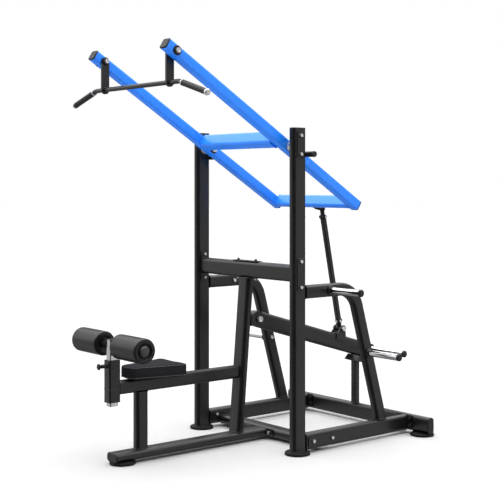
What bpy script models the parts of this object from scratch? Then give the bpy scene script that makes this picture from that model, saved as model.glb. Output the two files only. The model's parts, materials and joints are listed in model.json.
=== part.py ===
"""Lever lat pulldown machine: a free-standing plate-loaded frame, modelled in metres with +Z up.

+Y points to the back, where the plates hang, and the user sits at the front facing -Y.
The origin is on the floor, midway between the two tall posts.
"""

from math import asin, atan2, cos, hypot, pi, sin, tan

import bmesh
import bpy
from mathutils import Matrix, Vector

for old in list(bpy.data.objects):
    bpy.data.objects.remove(old, do_unlink=True)

GAP = 0.0003  # left between pieces that touch

# Stock sizes: outside width, depth and corner radius
MAIN = (0.050, 0.096, 0.020)
SECOND = (0.050, 0.075, 0.017)
ARM = (0.060, 0.060, 0.012)
FRONT_BAR = (0.068, 0.081, 0.016)
REAR_BAR = (0.040, 0.0755, 0.013)
PLATE = 0.006

# Heights of the base
FOOT_TOP = 0.0167
BASE_LOW = 0.017
FLAT_TOP = BASE_LOW + MAIN[0]
RAIL_TOP = BASE_LOW + MAIN[1]
RAIL_MID = (BASE_LOW + RAIL_TOP) / 2

POST_X = 0.441
POST_TOP = 1.812
POST_IN = POST_X - MAIN[0] / 2
POST_OUT = POST_X + MAIN[0] / 2
POST_BACK = MAIN[1] / 2

FRONT_FOOT_Y = -0.863
LOWER_BEAM_Y = 0.165
REAR_BEAM_Y = 0.896
REAR_BEAM_HALF = 0.622
UPPER_BEAM_Z = 1.003

# The slanted column between the base and the upper crossbeam
COLUMN_FOOT = Vector((0, -0.082, FLAT_TOP))
COLUMN_HEAD = Vector((0, -0.007, UPPER_BEAM_Z - MAIN[1] / 2))
COLUMN_SLOPE = atan2(COLUMN_HEAD.y - COLUMN_FOOT.y, COLUMN_HEAD.z - COLUMN_FOOT.z)

# The seat and the roller post in front of it
SEAT_BEAM_Z = 0.4125
SEAT_POST_Y = -0.748
SEAT_FRONT, SEAT_BACK = -0.845, -0.517
SEAT_LOW, SEAT_TOP = 0.4566, 0.523
SLEEVE_Y = -0.929
SLEEVE_LOW, SLEEVE_TOP = 0.339, 0.560
SLEEVE_SIZE = (0.059, 0.070, 0.009)
SLEEVE_BORE = (0.0435, 0.0515, 0.006)
INNER_POST = (0.042, 0.050, 0.0055)
PIN_Z = 0.534
PIN_PITCH = 0.025
ROLLER_Z = 0.643
ROLLER_RADIUS = 0.066
ROLLER_IN, ROLLER_OUT = 0.072, 0.311

# Arches over the side rails, with the horns that store plates
ARCH_Z = 0.8985
ARCH_CORNER_Y = 0.430
ARCH_FOOT_Y = 0.655
ARCH_BEND = 0.143
STORE_AT = ((0.235, 0.8985), (0.541, 0.515))

# The two levers and the rod that ties them
ARM_PIVOT = Vector((0, 0, 1.711))
ARM_TILT = 0.5534
ARM_ALONG = Vector((0, cos(ARM_TILT), -sin(ARM_TILT)))
ARM_ACROSS = Vector((0, sin(ARM_TILT), cos(ARM_TILT)))
ARM_FRONT, ARM_REAR = 0.975, 0.640
ARM_IN, ARM_OUT = 0.320, 0.380
HANGER_PIVOT = Vector((0, -0.777, 2.190))
ROD_TOP = Vector((0, 0.608, 1.298))
ROD_FOOT = Vector((0, 0.750, 0.596))
LEVER_PIVOT = Vector((0, 0.065, 0.709))
LEVER_SLOPE = 0.288
LEVER_ALONG = Vector((0, cos(LEVER_SLOPE), -sin(LEVER_SLOPE)))
LEVER_ACROSS = Vector((0, sin(LEVER_SLOPE), cos(LEVER_SLOPE)))
LEVER_END_Y = 1.035
LOAD_AT = Vector((0, 0.9955, 0.4474))
CLEVIS_IN = 0.0256
CLEVIS_FLOOR = 0.004
HORN_RADIUS = 0.0195

# The bar that the user pulls
BAR_Z = 2.030
BAR_TIP = Vector((0.640, HANGER_PIVOT.y, 1.958))
BAR_BEND_X = 0.400
BAR_RADIUS = 0.013
GRIP_LONG = 0.212

X, Y, Z = Vector((1, 0, 0)), Vector((0, 1, 0)), Vector((0, 0, 1))
SIDES = (("left", -1), ("right", 1))

machine = bpy.data.collections.new("Lat pulldown machine")
cutters = bpy.data.collections.new("Cutters")
bpy.context.scene.collection.children.link(machine)
bpy.context.scene.collection.children.link(cutters)
cutters.hide_render = True


def paint(name, colour, roughness, metallic=0.0):
    mat = bpy.data.materials.new(name)
    mat.use_nodes = True
    shader = mat.node_tree.nodes["Principled BSDF"]
    shader.inputs["Base Color"].default_value = (*colour, 1)
    shader.inputs["Roughness"].default_value = roughness
    shader.inputs["Metallic"].default_value = metallic
    mat.diffuse_color = (*colour, 1)
    return mat


BLACK = paint("Black powder coat", (0.022, 0.022, 0.024), 0.45)
BLUE = paint("Blue powder coat", (0.045, 0.26, 0.95), 0.4)
CHROME = paint("Chrome", (0.8, 0.8, 0.82), 0.12, 1.0)
ZINC = paint("Zinc-plated steel", (0.6, 0.6, 0.6), 0.35, 1.0)
PLASTIC = paint("Black plastic", (0.02, 0.02, 0.02), 0.5)
RUBBER = paint("Rubber", (0.03, 0.03, 0.03), 0.8)
FOAM = paint("Grey foam", (0.07, 0.07, 0.075), 0.9)
VINYL = paint("Black vinyl", (0.022, 0.02, 0.026), 0.55)


def finish(name, bm, mat, origin=(0, 0, 0)):
    """Turn a mesh built in place into an object whose origin is at the given point."""
    bmesh.ops.remove_doubles(bm, verts=bm.verts, dist=1e-6)
    bmesh.ops.recalc_face_normals(bm, faces=bm.faces)
    mesh = bpy.data.meshes.new(name)
    bm.to_mesh(mesh)
    bm.free()
    mesh.transform(Matrix.Translation(-Vector(origin)))
    mesh.shade_smooth()
    mesh.set_sharp_from_angle(angle=0.7)
    mesh.materials.append(mat)
    obj = bpy.data.objects.new(name, mesh)
    obj.location = origin
    machine.objects.link(obj)
    return obj


def evaluated(helper):
    """The shape that a curve or a modifier makes, as a mesh in world space. The helper is removed."""
    machine.objects.link(helper)
    made = helper.evaluated_get(bpy.context.evaluated_depsgraph_get())
    mesh = bpy.data.meshes.new_from_object(made)
    mesh.transform(made.matrix_world)
    bm = bmesh.new()
    bm.from_mesh(mesh)
    bpy.data.meshes.remove(mesh)
    bpy.data.objects.remove(helper, do_unlink=True)
    bmesh.ops.remove_doubles(bm, verts=bm.verts, dist=1e-6)
    return bm


def facing(place, run, side):
    """The matrix that stands local Z along run and local X along side."""
    run, side = Vector(run).normalized(), Vector(side).normalized()
    turn = Matrix((side, run.cross(side), run)).transposed().to_4x4()
    return Matrix.Translation(Vector(place)) @ turn


def trim(bm, place, outward):
    """Cut off what lies beyond a plane and close the cut."""
    bmesh.ops.bisect_plane(bm, geom=bm.verts[:] + bm.edges[:] + bm.faces[:], plane_co=place,
                           plane_no=outward, clear_outer=True)
    bmesh.ops.holes_fill(bm, edges=[edge for edge in bm.edges if edge.is_boundary])


def stock(start, end, size, side, segments=3):
    """A length of box section: size is its width along side, its depth and its corner radius."""
    wide, deep, radius = size
    start, end = Vector(start), Vector(end)
    bm = bmesh.new()
    bmesh.ops.create_cube(bm, size=1)
    bm.transform(Matrix.Diagonal((wide, deep, (end - start).length, 1)))
    corners = [edge for edge in bm.edges if abs((edge.verts[0].co - edge.verts[1].co).z) > 1e-9]
    bmesh.ops.bevel(bm, geom=corners, offset=radius, offset_type="OFFSET", segments=segments,
                    profile=0.5,
                    affect="EDGES")
    bm.transform(facing((start + end) / 2, end - start, side))
    return bm


def bar(name, start, end, size, side, mat, origin=(0, 0, 0), ends=(None, None), segments=3):
    """A straight bar of box section. ends holds the normal of each mitred end."""
    run = (Vector(end) - Vector(start)).normalized()
    spare = [0.1 if normal is not None else 0 for normal in ends]
    bm = stock(Vector(start) - run * spare[0], Vector(end) + run * spare[1], size, side, segments)
    for place, normal, way in ((start, ends[0], -1), (end, ends[1], 1)):
        if normal is not None:
            normal = Vector(normal)
            trim(bm, place, normal if normal.dot(run) * way > 0 else -normal)
    return finish(name, bm, mat, origin)


def bent_bar(name, start, corner, end, bend, size, side, mat, last_end, steps=9):
    """A bar of box section with one bend of the given radius, whose last end is trimmed to a plane."""
    back, on = (start - corner).normalized(), (end - corner).normalized()
    half = back.angle(on) / 2
    reach = bend / tan(half)
    centre = corner + (back + on).normalized() * (bend / sin(half))
    bend_start = corner + back * reach
    bm = stock(start, bend_start, size, side)
    bm.faces.ensure_lookup_table()
    face = max(bm.faces, key=lambda f: f.calc_center_median().dot(-back))
    spun = bmesh.ops.spin(bm, geom=[face, *face.edges, *face.verts], cent=centre,
                          axis=on.cross(back).normalized(), angle=pi - 2 * half, steps=steps)
    last = [item for item in spun["geom_last"] if isinstance(item, bmesh.types.BMFace)]
    drawn = bmesh.ops.extrude_face_region(bm, geom=last)
    bmesh.ops.delete(bm, geom=last, context="FACES_ONLY")
    moved = [item for item in drawn["geom"] if isinstance(item, bmesh.types.BMVert)]
    bmesh.ops.translate(bm, verts=moved, vec=on * ((end - corner).length - reach + 0.1))
    trim(bm, end, last_end)
    return finish(name, bm, mat)


def extruded(name, outline, start, end, side, mat, origin=(0, 0, 0)):
    """A flat outline drawn out from start to end."""
    start, end = Vector(start), Vector(end)
    curve = bpy.data.curves.new(name, "CURVE")
    curve.dimensions, curve.fill_mode = "2D", "BOTH"
    curve.extrude = (end - start).length / 2
    spline = curve.splines.new("POLY")
    spline.points.add(len(outline) - 1)
    for point, (u, v) in zip(spline.points, outline):
        point.co = (u, v, 0, 1)
    spline.use_cyclic_u = True
    helper = bpy.data.objects.new(name, curve)
    helper.matrix_world = facing((start + end) / 2, end - start, side)
    return finish(name, evaluated(helper), mat, origin)


def slab(name, outline, x_low, x_high, mat, origin=(0, 0, 0)):
    """A flat plate standing in the machine's length, from an outline of (y, z) pairs."""
    return extruded(name, outline, (x_low, 0, 0), (x_high, 0, 0), Y, mat, origin)


def round_bar(name, points, radius, mat, origin=(0, 0, 0)):
    """A round bar along a centre line."""
    curve = bpy.data.curves.new(name, "CURVE")
    curve.dimensions = "3D"
    curve.bevel_depth, curve.bevel_resolution, curve.use_fill_caps = radius, 8, True
    spline = curve.splines.new("POLY")
    spline.points.add(len(points) - 1)
    for point, place in zip(spline.points, points):
        point.co = (*place, 1)
    return finish(name, evaluated(bpy.data.objects.new(name, curve)), mat, origin)


def turned(name, profile, at, axis, mat, origin=None, steps=28):
    """A turned piece. profile holds (radius, distance along the axis) pairs, up its outer side."""
    mesh = bpy.data.meshes.new(name)
    rim = [(radius, 0, along) for radius, along in reversed(profile)]
    edges = [(i, i + 1) for i in range(len(rim) - 1)]
    if profile[0][0] > 0:
        edges.append((len(rim) - 1, 0))
    mesh.from_pydata(rim, edges, [])
    helper = bpy.data.objects.new(name, mesh)
    screw = helper.modifiers.new("Screw", "SCREW")
    screw.steps = screw.render_steps = steps
    screw.use_merge_vertices, screw.merge_threshold = True, 1e-5
    turn = Z.rotation_difference(Vector(axis)).to_matrix().to_4x4()
    helper.matrix_world = Matrix.Translation(Vector(at)) @ turn
    return finish(name, evaluated(helper), mat, at if origin is None else origin)


def rod(name, start, end, radius, mat, origin=None, steps=28):
    start, end = Vector(start), Vector(end)
    bm = bmesh.new()
    bmesh.ops.create_cone(bm, cap_ends=True, segments=steps, radius1=radius, radius2=radius,
                          depth=(end - start).length)
    turn = Z.rotation_difference((end - start).normalized()).to_matrix().to_4x4()
    bm.transform(Matrix.Translation((start + end) / 2) @ turn)
    return finish(name, bm, mat, start if origin is None else origin)


def block(name, low, high, mat, origin=(0, 0, 0)):
    bm = bmesh.new()
    bmesh.ops.create_cube(bm, size=1)
    low, high = Vector(low), Vector(high)
    bm.transform(Matrix.Translation((low + high) / 2) @ Matrix.Diagonal((*(high - low), 1)))
    return finish(name, bm, mat, origin)


def rounded(corners, radii, steps=3):
    """A closed outline with each corner replaced by an arc."""
    found = []
    count = len(corners)
    for i, corner in enumerate(corners):
        here = Vector(corner)
        before = (Vector(corners[i - 1]) - here).normalized()
        after = (Vector(corners[(i + 1) % count]) - here).normalized()
        half = before.angle(after) / 2
        radius = radii[i] if isinstance(radii, (list, tuple)) else radii
        reach = radius / tan(half)
        centre = here + (before + after).normalized() * (radius / sin(half))
        start, end = here + before * reach - centre, here + after * reach - centre
        sweep = start.angle(end)
        for k in range(steps + 1):
            t = k / steps
            arm = (start * sin((1 - t) * sweep) + end * sin(t * sweep)) / sin(sweep)
            found.append(centre + arm)
    return found


def bent_path(points, radius, steps=6):
    """A centre line with each inner corner bent to the given radius."""
    points = [Vector(p) for p in points]
    found = [points[0]]
    for before, here, after in zip(points, points[1:], points[2:]):
        back, on = (before - here).normalized(), (after - here).normalized()
        half = back.angle(on) / 2
        centre = here + (back + on).normalized() * (radius / sin(half))
        start, end = here + back * radius / tan(half) - centre, here + on * radius / tan(half) - centre
        turn = start.angle(end)
        for k in range(steps + 1):
            t = k / steps
            found.append(centre + (start * sin((1 - t) * turn) + end * sin(t * turn)) / sin(turn))
    return found + [points[-1]]


def strap(start, end, start_radius, end_radius, steps=10):
    """The (y, z) outline of a plate with a round end about each of two points."""
    a, b = Vector((start.y, start.z)), Vector((end.y, end.z))
    heading = atan2(b.y - a.y, b.x - a.x)
    lean = asin((start_radius - end_radius) / hypot(b.x - a.x, b.y - a.y))
    found = []
    for centre, radius, first, last in (
        (b, end_radius, heading - pi / 2 + lean, heading + pi / 2 - lean),
        (a, start_radius, heading + pi / 2 - lean, heading + 3 * pi / 2 + lean),
    ):
        for k in range(steps + 1):
            angle = first + (last - first) * k / steps
            found.append((centre.x + radius * cos(angle), centre.y + radius * sin(angle)))
    return found


def combine(target, tool, operation):
    """Join the tool to the target, or cut it away. The tool stays as a hidden helper."""
    machine.objects.unlink(tool)
    cutters.objects.link(tool)
    tool.hide_render = True
    tool.display_type = "WIRE"
    change = target.modifiers.new(operation.title(), "BOOLEAN")
    change.operation = operation
    change.object = tool
    change.solver = "EXACT"
    return target


def join(target, *tools):
    for tool in tools:
        combine(target, tool, "UNION")
    return target


def cut(target, *tools):
    for tool in tools:
        combine(target, tool, "DIFFERENCE")
    return target


def at(x, y, z):
    return Vector((x, y, z))


flat_main = (MAIN[1], MAIN[0], MAIN[2])

# ---- Base ----
front_beam_end = LOWER_BEAM_Y - MAIN[1] / 2 - GAP
base_mid = BASE_LOW + MAIN[0] / 2
front_base_beam = bar("front_base_beam", at(0, -0.925, base_mid),
                      at(0, front_beam_end - 0.003, base_mid),
                      flat_main, X, BLACK)
join(front_base_beam, block("front_beam_flange", (-0.099, front_beam_end - PLATE, 0.020),
                            (0.099, front_beam_end, 0.0645), BLACK))
bar("front_beam_cap", at(0, -0.933, base_mid), at(0, -0.925 - GAP, base_mid), flat_main, X, PLASTIC)

lower_crossbeam = bar("lower_crossbeam", at(-0.412, LOWER_BEAM_Y, base_mid),
                      at(0.412, LOWER_BEAM_Y, base_mid),
                      flat_main, Y, BLACK)
for side, sign in SIDES:
    x_low, x_high = sorted((sign * (POST_IN - GAP), sign * (POST_IN - GAP - PLATE)))
    join(lower_crossbeam,
         block("lower_flange_" + side, (x_low, 0.060, 0.036), (x_high, 0.270, 0.091), BLACK))
    rail = bar("side_rail_" + side, at(sign * POST_X, POST_BACK + GAP, RAIL_MID),
               at(sign * POST_X, 0.867, RAIL_MID),
               MAIN, X, BLACK)
    rail_end = REAR_BEAM_Y - MAIN[0] / 2 - GAP
    join(rail, block("rail_flange_" + side, (sign * POST_X - 0.062, rail_end - PLATE, 0.032),
                     (sign * POST_X + 0.062, rail_end, 0.1125), BLACK))
    x_low, x_high = sorted((sign * (POST_OUT + GAP), sign * (POST_OUT + GAP + 0.005)))
    block("lower_backing_plate_" + side, (x_low, 0.060, 0.036), (x_high, 0.270, 0.091), BLACK)

bar("rear_crossbeam", at(-REAR_BEAM_HALF, REAR_BEAM_Y, RAIL_MID),
    at(REAR_BEAM_HALF, REAR_BEAM_Y, RAIL_MID), MAIN, Y,
    BLACK)
for side, sign in SIDES:
    bar("rear_beam_cap_" + side, at(sign * (REAR_BEAM_HALF + GAP), REAR_BEAM_Y, RAIL_MID),
        at(sign * (REAR_BEAM_HALF + 0.006), REAR_BEAM_Y, RAIL_MID), MAIN, Y, PLASTIC)

foot_profile = [(0, 0), (0.069, 0), (0.071, 0.002), (0.071, 0.010), (0.0685, 0.0145), (0.063, FOOT_TOP),
                (0, FOOT_TOP)]
for name, x, y in (("front", 0, FRONT_FOOT_Y), ("middle_left", -POST_X, 0), ("middle_right", POST_X, 0),
                   ("rear_left", -0.557, REAR_BEAM_Y), ("rear_right", 0.557, REAR_BEAM_Y)):
    turned("foot_" + name, foot_profile, at(x, y, 0), Z, RUBBER, steps=40)

# ---- Posts, crossbeam and column ----
upper_crossbeam = bar("upper_crossbeam", at(-0.412, 0, UPPER_BEAM_Z), at(0.412, 0, UPPER_BEAM_Z), MAIN,
                      Y, BLACK)
for side, sign in SIDES:
    bar("post_" + side, at(sign * POST_X, 0, BASE_LOW), at(sign * POST_X, 0, POST_TOP - 0.004), MAIN, X,
        BLACK)
    bar("post_cap_" + side, at(sign * POST_X, 0, POST_TOP - 0.004 + GAP),
        at(sign * POST_X, 0, POST_TOP), MAIN, X,
        PLASTIC)
    x_low, x_high = sorted((sign * (POST_IN - GAP), sign * (POST_IN - GAP - PLATE)))
    join(upper_crossbeam,
         block("upper_flange_" + side, (x_low, -0.0245, 0.910), (x_high, 0.0245, 1.090), BLACK))
    x_low, x_high = sorted((sign * (POST_OUT + GAP), sign * (POST_OUT + GAP + 0.005)))
    block("pivot_plate_" + side, (x_low, -0.0245, 1.645), (x_high, 0.0245, 1.789), BLACK)

column_face = at(0, cos(COLUMN_SLOPE), -sin(COLUMN_SLOPE))
bar("slanted_column", COLUMN_FOOT + Z * GAP, COLUMN_HEAD - Z * GAP, flat_main, X, BLACK, ends=(Z, Z))

# ---- Seat ----
column_at_seat = COLUMN_FOOT.y + tan(COLUMN_SLOPE) * (SEAT_BEAM_Z - FLAT_TOP)
seat_beam_end = column_at_seat - 0.025 / cos(COLUMN_SLOPE) - GAP
bar("seat_beam", at(0, SLEEVE_Y + SLEEVE_SIZE[1] / 2 + GAP, SEAT_BEAM_Z),
    at(0, seat_beam_end, SEAT_BEAM_Z), SECOND, X,
    BLACK, ends=(None, column_face))
bar("seat_post", at(0, SEAT_POST_Y, FLAT_TOP + GAP), at(0, SEAT_POST_Y, SEAT_BEAM_Z - 0.0375 - GAP),
    SECOND, X, BLACK)


def seat_outline(inset):
    front, back = 0.064 - inset, 0.137 - inset
    low, high = SEAT_FRONT + inset, SEAT_BACK - inset
    corners = [Vector(c) for c in ((-front, low), (front, low), (back, high), (-back, high))]
    return rounded(corners, [0.035 - inset] * 2 + [0.030 - inset] * 2, 6)


extruded("seat_plate", seat_outline(0.018), at(0, 0, 0.4505), at(0, 0, 0.4562), X, BLACK)
bm = bmesh.new()
panel = bm.faces.new([bm.verts.new((x, y, SEAT_LOW + 0.004)) for x, y in seat_outline(0)])
drawn = bmesh.ops.extrude_face_region(bm, geom=[panel])["geom"]
bmesh.ops.translate(bm, verts=[v for v in drawn if isinstance(v, bmesh.types.BMVert)],
                    vec=Z * (SEAT_TOP - SEAT_LOW - 0.017))
bmesh.ops.recalc_face_normals(bm, faces=bm.faces)
seat_faces = sorted(bm.faces, key=lambda face: face.calc_center_median().z)
bmesh.ops.inset_region(bm, faces=[seat_faces[0]], thickness=0.004, depth=0.004, use_even_offset=True)
for thickness, depth in ((0.0025, 0.005), (0.0065, 0.004), (0.0160, 0.004)):
    bmesh.ops.inset_region(bm, faces=[seat_faces[-1]], thickness=thickness, depth=depth,
                           use_even_offset=True)
finish("seat_cushion", bm, VINYL)

sleeve = bar("roller_sleeve", at(0, SLEEVE_Y, SLEEVE_LOW), at(0, SLEEVE_Y, SLEEVE_TOP), SLEEVE_SIZE, X,
             BLACK)
cut(sleeve,
    bar("sleeve_room", at(0, SLEEVE_Y, SLEEVE_LOW - 0.01), at(0, SLEEVE_Y, SLEEVE_TOP + 0.01),
        SLEEVE_BORE, X,
                BLACK))
join(sleeve, turned("pin_barrel", [(0, 0), (0.0092, 0), (0.0092, 0.025), (0.0085, 0.026), (0, 0.026)],
                    at(0, SLEEVE_Y - SLEEVE_SIZE[1] / 2 + 0.004, PIN_Z), -Y, BLACK, steps=24))
cut(sleeve,
    rod("pin_bore", at(0, SLEEVE_Y - 0.07, PIN_Z), at(0, SLEEVE_Y - 0.010, PIN_Z), 0.0058, BLACK,
        steps=20))
sleeve_front = SLEEVE_Y - SLEEVE_SIZE[1] / 2 - GAP
turned("pop_pin", [(0, 0), (0.0052, 0), (0.0052, 0.063), (0.011, 0.065), (0.016, 0.068), (0.017, 0.071),
                   (0.016, 0.075), (0.012, 0.079), (0.006, 0.081), (0, 0.0815)],
       at(0, -0.9385, PIN_Z), -Y, PLASTIC, origin=at(0, sleeve_front, PIN_Z), steps=24)

roller_centre = at(0, SLEEVE_Y, ROLLER_Z)
inner_post = bar("roller_post", at(0, SLEEVE_Y, 0.318), at(0, SLEEVE_Y, 0.672), INNER_POST, X, CHROME,
                 origin=roller_centre)
cut(inner_post,
    rod("axle_bore", at(-0.04, SLEEVE_Y, ROLLER_Z), at(0.04, SLEEVE_Y, ROLLER_Z), 0.0123, CHROME))
for k in range(-1, 6):
    height = PIN_Z - k * PIN_PITCH
    cut(inner_post, rod("height_hole_%d" % (k + 1), at(0, SLEEVE_Y - 0.04, height),
                        at(0, SLEEVE_Y - 0.009, height), 0.0058, CHROME, steps=16))
half_axle = [(0.012, 0), (0.012, 0.022), (0.019, 0.022), (0.019, ROLLER_IN - GAP),
             (0.012, ROLLER_IN - GAP),
             (0.012, ROLLER_OUT + GAP), (0.030, ROLLER_OUT + GAP), (0.030, ROLLER_OUT + 0.004),
             (0.024, ROLLER_OUT + 0.009), (0.012, ROLLER_OUT + 0.012), (0, ROLLER_OUT + 0.013)]
turned("roller_axle", [(r, -d) for r, d in reversed(half_axle)][:-1] + half_axle, roller_centre, X,
       ZINC, steps=24)
for side, sign in SIDES:
    turned("roller_" + side, [(0.0123, ROLLER_IN), (0.062, ROLLER_IN), (0.065, ROLLER_IN + 0.002),
                              (ROLLER_RADIUS, ROLLER_IN + 0.006), (ROLLER_RADIUS, ROLLER_OUT - 0.006),
                              (0.065, ROLLER_OUT - 0.002), (0.062, ROLLER_OUT), (0.0123, ROLLER_OUT)],
           roller_centre, X * sign, FOAM, steps=40)

# ---- Arches, storage horns and the stand that the lever rests on ----
arch_corner = at(0, ARCH_CORNER_Y, ARCH_Z)
arch_foot = at(0, ARCH_FOOT_Y, RAIL_TOP + GAP)


def horn_profile(length):
    return [(0, 0), (0.031, 0), (0.031, 0.008), (HORN_RADIUS, 0.008), (HORN_RADIUS, length - 0.014),
            (0.021, length - 0.014), (0.021, length - 0.005), (0.017, length - 0.0012), (0, length)]


for side, sign in SIDES:
    across = X * sign * POST_X
    bent_bar("arch_" + side, across + at(0, POST_BACK + GAP, ARCH_Z), across + arch_corner,
             across + arch_foot,
             ARCH_BEND, SECOND, X, BLACK, -Z)
    for place, (y, z) in zip(("upper", "lower"), STORE_AT):
        turned("store_horn_%s_%s" % (place, side), horn_profile(0.244),
               at(sign * (POST_OUT + GAP), y, z), X * sign, BLACK)

STAND_Y = 0.888
lever_under = LEVER_PIVOT - LEVER_ACROSS * (MAIN[1] / 2 + 2 * GAP)


def under_lever(y, drop):
    """The point at this y, and this far below the underside of the lowered lever."""
    start = lever_under - LEVER_ACROSS * drop
    return start + LEVER_ALONG * ((y - start.y) / cos(LEVER_SLOPE))


bar("stop_stand", at(0, STAND_Y, RAIL_TOP + GAP), under_lever(STAND_Y, 0.005 + GAP),
    (0.040, 0.040, 0.006), X, BLACK,
    ends=(None, LEVER_ACROSS))
saddle_half = [(0.0255, 0), (0.048, -0.037), (0.0425, -0.037), (0.0225, -0.005)]
extruded("stop_saddle", saddle_half + [(-u, v) for u, v in reversed(saddle_half)],
         under_lever(0.957, 0),
         under_lever(0.848, 0), X, BLACK)

# ---- Lever hinge on the column ----
column_back = COLUMN_FOOT.y + tan(COLUMN_SLOPE) * (LEVER_PIVOT.z - FLAT_TOP) + 0.025 / cos(COLUMN_SLOPE)
yoke = block("lever_yoke", (-0.040, column_back + 0.004, LEVER_PIVOT.z - 0.036),
             (0.040, column_back + 0.010, LEVER_PIVOT.z + 0.032), BLACK)
for side, sign in SIDES:
    x_low, x_high = sorted((sign * 0.0260, sign * 0.0330))
    join(yoke,
         slab("yoke_cheek_" + side, strap(at(0, column_back + 0.036, LEVER_PIVOT.z), LEVER_PIVOT, 0.031,
                                                0.030), x_low, x_high, BLACK))
    join(yoke, block("yoke_root_" + side, (x_low, column_back + 0.006, LEVER_PIVOT.z - 0.030),
                     (x_high, column_back + 0.040, LEVER_PIVOT.z + 0.030), BLACK))
cut(yoke, rod("yoke_bore", LEVER_PIVOT - X * 0.05, LEVER_PIVOT + X * 0.05, 0.0103, BLACK))
half_bolt = [(0.010, 0), (0.010, 0.0335), (0.019, 0.0335), (0.019, 0.040), (0.015, 0.0435), (0, 0.045)]
turned("lever_bolt", [(r, -d) for r, d in reversed(half_bolt)][:-1] + half_bolt, LEVER_PIVOT, X, ZINC,
       steps=24)

lever_end = LEVER_PIVOT + LEVER_ALONG * ((LEVER_END_Y - LEVER_PIVOT.y) / cos(LEVER_SLOPE))
lever = bar("weight_lever", LEVER_PIVOT + LEVER_ALONG * 0.004,
            lever_end - LEVER_ALONG * (MAIN[1] / 2 * tan(LEVER_SLOPE)), MAIN, X, BLACK,
            origin=LEVER_PIVOT)
join(lever,
     rod("lever_hub", LEVER_PIVOT - X * 0.0247, LEVER_PIVOT + X * 0.0247, 0.0465, BLACK, steps=40))
cut(lever, rod("lever_bore", LEVER_PIVOT - X * 0.05, LEVER_PIVOT + X * 0.05, 0.0103, BLACK))

for side, sign in SIDES:
    turned("load_horn_" + side, horn_profile(0.304), LOAD_AT + X * sign * (0.025 + GAP), X * sign,
           BLACK,
           origin=LEVER_PIVOT)

# The clevis straddles the lever under the rod
along = (ROD_FOOT - LEVER_PIVOT).dot(LEVER_ALONG)
clevis_seat = LEVER_PIVOT + LEVER_ALONG * along + LEVER_ACROSS * (MAIN[1] / 2 + GAP)
clevis_mid = clevis_seat + LEVER_ACROSS * CLEVIS_FLOOR / 2
clevis = bar("lever_clevis", clevis_mid - LEVER_ALONG * 0.038, clevis_mid + LEVER_ALONG * 0.038,
             (2 * (CLEVIS_IN + PLATE), CLEVIS_FLOOR, 0.0008), X, BLACK, origin=LEVER_PIVOT, segments=1)
for side, sign in SIDES:
    x_low, x_high = sorted((sign * CLEVIS_IN, sign * (CLEVIS_IN + PLATE)))
    low, high = clevis_seat - LEVER_ACROSS * 0.036, clevis_seat + LEVER_ACROSS * 0.002
    foot = [low - LEVER_ALONG * 0.0375, low + LEVER_ALONG * 0.0375, high + LEVER_ALONG * 0.0375,
            ROD_FOOT + at(0, 0.020, 0.004), ROD_FOOT + at(0, 0.014, 0.016), ROD_FOOT + at(0, 0, 0.021),
            ROD_FOOT + at(0, -0.014, 0.016), ROD_FOOT + at(0, -0.020, 0.004),
            high - LEVER_ALONG * 0.0375]
    join(clevis, slab("clevis_cheek_" + side, [(p.y, p.z) for p in foot], x_low, x_high, BLACK))

# ---- Arm frame ----
for side, sign in SIDES:
    across = X * sign * (ARM_IN + ARM_OUT) / 2
    arm = bar("arm_" + side, ARM_PIVOT + across - ARM_ALONG * ARM_FRONT,
              ARM_PIVOT + across + ARM_ALONG * ARM_REAR,
              ARM, X, BLUE, origin=ARM_PIVOT)
    cut(arm,
        rod("arm_bore_" + side, ARM_PIVOT + X * sign * 0.30, ARM_PIVOT + X * sign * 0.40, 0.0155, BLUE))
    stop_peg = at(sign * (ARM_OUT - 0.010), POST_BACK + 0.0162, 1.667)
    join(arm, rod("stop_peg_" + side, stop_peg, stop_peg + X * sign * 0.144, 0.015, BLACK, steps=20))
    join(arm, rod("hanger_bolt_" + side, HANGER_PIVOT + X * sign * (ARM_IN + 0.01),
                  HANGER_PIVOT + X * sign * (ARM_IN - 0.019), 0.008, BLACK, steps=20),
         rod("hanger_bolt_head_" + side, HANGER_PIVOT + X * sign * (ARM_IN - 0.014),
             HANGER_PIVOT + X * sign * (ARM_IN - 0.021), 0.014, BLACK, steps=20))
    turned("arm_pivot_" + side,
           [(0, -0.005), (0.015, -0.005), (0.015, 0.060 + GAP), (0.026, 0.060 + GAP),
                                 (0.026, POST_IN - ARM_IN - GAP), (0, POST_IN - ARM_IN - GAP)],
           ARM_PIVOT + X * sign * ARM_IN, X * sign, ZINC, origin=ARM_PIVOT)

front_centre = ARM_PIVOT - ARM_ALONG * 0.068 + ARM_ACROSS * 0.0045
rear_centre = ARM_PIVOT + ARM_ALONG * 0.614 + ARM_ACROSS * 0.0078
for name, centre, size in (("front_crossbar", front_centre, FRONT_BAR),
                           ("rear_crossbar", rear_centre, REAR_BAR)):
    bar(name, centre - X * (ARM_IN - GAP), centre + X * (ARM_IN - GAP), size, ARM_ALONG, BLUE,
        origin=ARM_PIVOT)

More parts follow.
